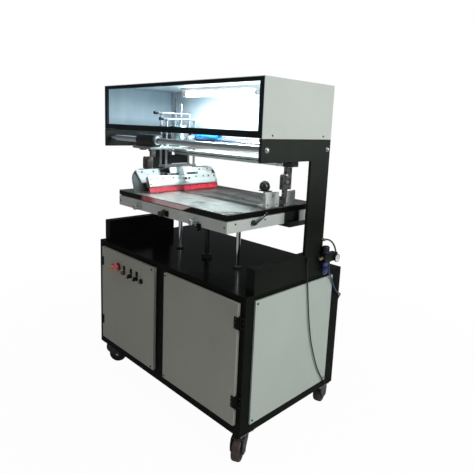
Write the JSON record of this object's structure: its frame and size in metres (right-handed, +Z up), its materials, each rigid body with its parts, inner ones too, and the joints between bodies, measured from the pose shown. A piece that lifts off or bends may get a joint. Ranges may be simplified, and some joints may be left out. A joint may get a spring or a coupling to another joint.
{
  "type": "flatbed screen printer",
  "caption": "Semi-automatic flatbed screen printer: black wheeled cabinet, lifting print table, hooded overhead squeegee and flood carriage, pneumatic drive.",
  "frame": {"origin": "centre of the machine's outline on the floor, without its cords", "axes": "X to the operator's right, Y from the operator to the back, Z up"},
  "size_m": [1.22, 0.7635, 1.592],
  "materials": {
    "black_paint": "satin black powder coat",
    "deck_gloss": "glossy black enamel, scuffed",
    "pale_paint": "pale grey-green textured paint",
    "apron_grey": "light grey paint",
    "zinc": "zinc plated",
    "hard_chrome": "ground and chromed",
    "white_aluminium": "clear anodised",
    "satin_steel": "satin plated steel",
    "dark_steel": "blackened steel",
    "bed_steel": "ground plate, faint ink haze",
    "clamp_grey": "worn grey paint",
    "brass_knob": "knurled brass",
    "red_rubber": "polyurethane blade",
    "wheel_rubber": "worn dark rubber",
    "cable_black": "PVC sheath",
    "blue_hose": "polyurethane tube",
    "regulator_blue": "moulded bowls and body",
    "red_plastic": "moulded",
    "black_plastic": "moulded",
    "lamp_white": "white housing and tube"
  },
  "bodies": {
    "machine": {"base_frame": "black_paint", "deck_top": "deck_gloss", "floor_pan": "black_paint", "cabinet_panels": "pale_paint", "fasteners": "zinc", "side_frame_right": "black_paint", "side_frame_left": "black_paint", "hood_shell": "pale_paint", "hood_front_frame": "black_paint", "guide_shafts": "hard_chrome", "drive_cylinder": "white_aluminium", "work_light": "lamp_white", "coil_hose": "blue_hose", "lift_cylinder": "dark_steel", "rod_bushings": "dark_steel", "control_box": "pale_paint", "regulator_body": "regulator_blue", "hinge_leaves": "black_paint", "caster_plates": "zinc", "power_inlet": "black_plastic", "cable_glands": "black_plastic", "link_cable": "cable_black", "air_hose": "blue_hose"},
    "regulator_knob": {"regulator_knob": "black_plastic"},
    "left_door": {"door_left": "pale_paint", "switch_bezels": "black_plastic"},
    "estop": {"estop_button": "red_plastic"},
    "start_button": {"push_button": "red_plastic"},
    "selector_a": {"selector_knob_1": "black_plastic"},
    "selector_b": {"selector_knob_2": "black_plastic"},
    "right_door": {"door_right": "pale_paint"},
    "table": {"table_frame": "apron_grey", "lift_rods": "hard_chrome"},
    "bed_cross": {"bed_subplate": "dark_steel"},
    "bed": {"bed_plate": "black_paint", "bed_sheet": "bed_steel", "register_stops": "satin_steel"},
    "stop_knob": {"stop_knob": "black_plastic"},
    "adjuster_left": {"adjust_knob_left": "satin_steel"},
    "adjuster_mid": {"adjust_knob_mid": "brass_knob"},
    "adjuster_right": {"adjust_knob_right": "satin_steel"},
    "lock_lever": {"bed_lock_lever": "black_plastic"},
    "carriage": {"carriage_plate": "satin_steel", "carriage_bearings": "dark_steel", "head_cylinders": "white_aluminium"},
    "squeegee": {"squeegee_yoke": "satin_steel", "squeegee_holder": "white_aluminium", "squeegee_blade": "red_rubber"},
    "flood_bar": {"flood_yoke": "satin_steel", "flood_blade": "satin_steel"},
    "clamp_right": {"screen_clamp_right": "clamp_grey"},
    "clamp_left": {"screen_clamp_left": "clamp_grey"},
    "swivel_fr": {"caster_fork_fr": "black_paint"},
    "wheel_fr": {"caster_wheel_fr": "wheel_rubber"},
    "swivel_fl": {"caster_fork_fl": "black_paint"},
    "wheel_fl": {"caster_wheel_fl": "wheel_rubber"},
    "swivel_rr": {"caster_fork_rr": "black_paint"},
    "wheel_rr": {"caster_wheel_rr": "wheel_rubber"},
    "swivel_rl": {"caster_fork_rl": "black_paint"},
    "wheel_rl": {"caster_wheel_rl": "wheel_rubber"}
  },
  "joints": [
    {"name": "left_door_hinge", "type": "hinge", "parent": "machine", "child": "left_door", "pos_m": [-0.55395, -0.33645, 0.45], "axis": [0, 0, 1], "range_deg": [-110, 0]},
    {"name": "right_door_hinge", "type": "hinge", "parent": "machine", "child": "right_door", "pos_m": [0.53805, -0.33645, 0.45], "axis": [0, 0, 1], "range_deg": [0, 110]},
    {"name": "estop_press", "type": "slide", "parent": "left_door", "child": "estop", "axis": [0, 1, 0], "range_m": [0, 0.006], "stiffness_N_per_m": 1500},
    {"name": "start_press", "type": "slide", "parent": "left_door", "child": "start_button", "axis": [0, 1, 0], "range_m": [0, 0.004], "stiffness_N_per_m": 800},
    {"name": "selector_a_turn", "type": "hinge", "parent": "left_door", "child": "selector_a", "pos_m": [-0.24995, -0.35045, 0.616], "axis": [0, 1, 0], "range_deg": [-45, 45]},
    {"name": "selector_b_turn", "type": "hinge", "parent": "left_door", "child": "selector_b", "pos_m": [-0.19595, -0.35045, 0.616], "axis": [0, 1, 0], "range_deg": [-45, 45]},
    {"name": "table_lift", "type": "slide", "parent": "machine", "child": "table", "axis": [0, 0, 1], "range_m": [-0.12, 0]},
    {"name": "bed_cross_slide", "type": "slide", "parent": "table", "child": "bed_cross", "axis": [1, 0, 0], "range_m": [-0.008, 0.008]},
    {"name": "bed_depth_slide", "type": "slide", "parent": "bed_cross", "child": "bed", "axis": [0, 1, 0], "range_m": [-0.008, 0.008]},
    {"name": "adjuster_left_turn", "type": "hinge", "parent": "table", "child": "adjuster_left", "pos_m": [-0.16995, -0.35545, 0.996], "axis": [0, 1, 0], "range_deg": [-721, 721]},
    {"name": "adjuster_mid_turn", "type": "hinge", "parent": "table", "child": "adjuster_mid", "pos_m": [0.03205, -0.35545, 0.996], "axis": [0, 1, 0], "range_deg": [-721, 721]},
    {"name": "adjuster_right_turn", "type": "hinge", "parent": "table", "child": "adjuster_right", "pos_m": [0.25805, -0.35545, 0.996], "axis": [0, 1, 0], "range_deg": [-721, 721]},
    {"name": "stop_knob_turn", "type": "hinge", "parent": "bed", "child": "stop_knob", "pos_m": [0.40205, -0.07545, 1.1], "axis": [0, 0, 1], "range_deg": [-360, 360]},
    {"name": "lock_lever_turn", "type": "hinge", "parent": "table", "child": "lock_lever", "pos_m": [0.46105, -0.19145, 1.008], "axis": [1, 0, 0], "range_deg": [-45, 20]},
    {"name": "carriage_travel", "type": "slide", "parent": "machine", "child": "carriage", "axis": [1, 0, 0], "range_m": [0, 0.52]},
    {"name": "squeegee_lift", "type": "slide", "parent": "carriage", "child": "squeegee", "axis": [0, 0, 1], "range_m": [0, 0.05]},
    {"name": "flood_lift", "type": "slide", "parent": "carriage", "child": "flood_bar", "axis": [0, 0, 1], "range_m": [0, 0.05]},
    {"name": "clamp_right_lift", "type": "slide", "parent": "machine", "child": "clamp_right", "axis": [0, 0, 1], "range_m": [0, 0.03]},
    {"name": "clamp_left_lift", "type": "slide", "parent": "machine", "child": "clamp_left", "axis": [0, 0, 1], "range_m": [0, 0.03]},
    {"name": "regulator_turn", "type": "hinge", "parent": "machine", "child": "regulator_knob", "pos_m": [0.58405, 0.16255, 0.86], "axis": [0, 0, 1], "range_deg": [0, 720]},
    {"name": "swivel_fr_turn", "type": "hinge", "parent": "machine", "child": "swivel_fr", "pos_m": [0.51205, -0.27395, 0.11], "axis": [0, 0, 1], "continuous": true},
    {"name": "wheel_fr_roll", "type": "hinge", "parent": "swivel_fr", "child": "wheel_fr", "pos_m": [0.52848, -0.30485, 0.05], "axis": [0.8829, 0.4695, 0], "continuous": true},
    {"name": "swivel_fl_turn", "type": "hinge", "parent": "machine", "child": "swivel_fl", "pos_m": [-0.54795, -0.27995, 0.11], "axis": [0, 0, 1], "continuous": true},
    {"name": "wheel_fl_roll", "type": "hinge", "parent": "swivel_fl", "child": "wheel_fl", "pos_m": [-0.52364, -0.25477, 0.05], "axis": [-0.7193, 0.6947, 0], "continuous": true},
    {"name": "swivel_rr_turn", "type": "hinge", "parent": "machine", "child": "swivel_rr", "pos_m": [0.51205, 0.29605, 0.11], "axis": [0, 0, 1], "continuous": true},
    {"name": "wheel_rr_roll", "type": "hinge", "parent": "swivel_rr", "child": "wheel_rr", "pos_m": [0.50299, 0.32986, 0.05], "axis": [-0.9659, -0.2588, 0], "continuous": true},
    {"name": "swivel_rl_turn", "type": "hinge", "parent": "machine", "child": "swivel_rl", "pos_m": [-0.54795, 0.29605, 0.11], "axis": [0, 0, 1], "continuous": true},
    {"name": "wheel_rl_roll", "type": "hinge", "parent": "swivel_rl", "child": "wheel_rl", "pos_m": [-0.51764, 0.31355, 0.05], "axis": [-0.5, 0.866, 0], "continuous": true}
  ],
  "couplings": [
    {"joint": "adjuster_mid_turn", "follows": "bed_cross_slide", "rad_per_m": 1570.8},
    {"joint": "adjuster_left_turn", "follows": "bed_depth_slide", "rad_per_m": 1570.8},
    {"joint": "adjuster_right_turn", "follows": "bed_depth_slide", "rad_per_m": 1570.8}
  ]
}
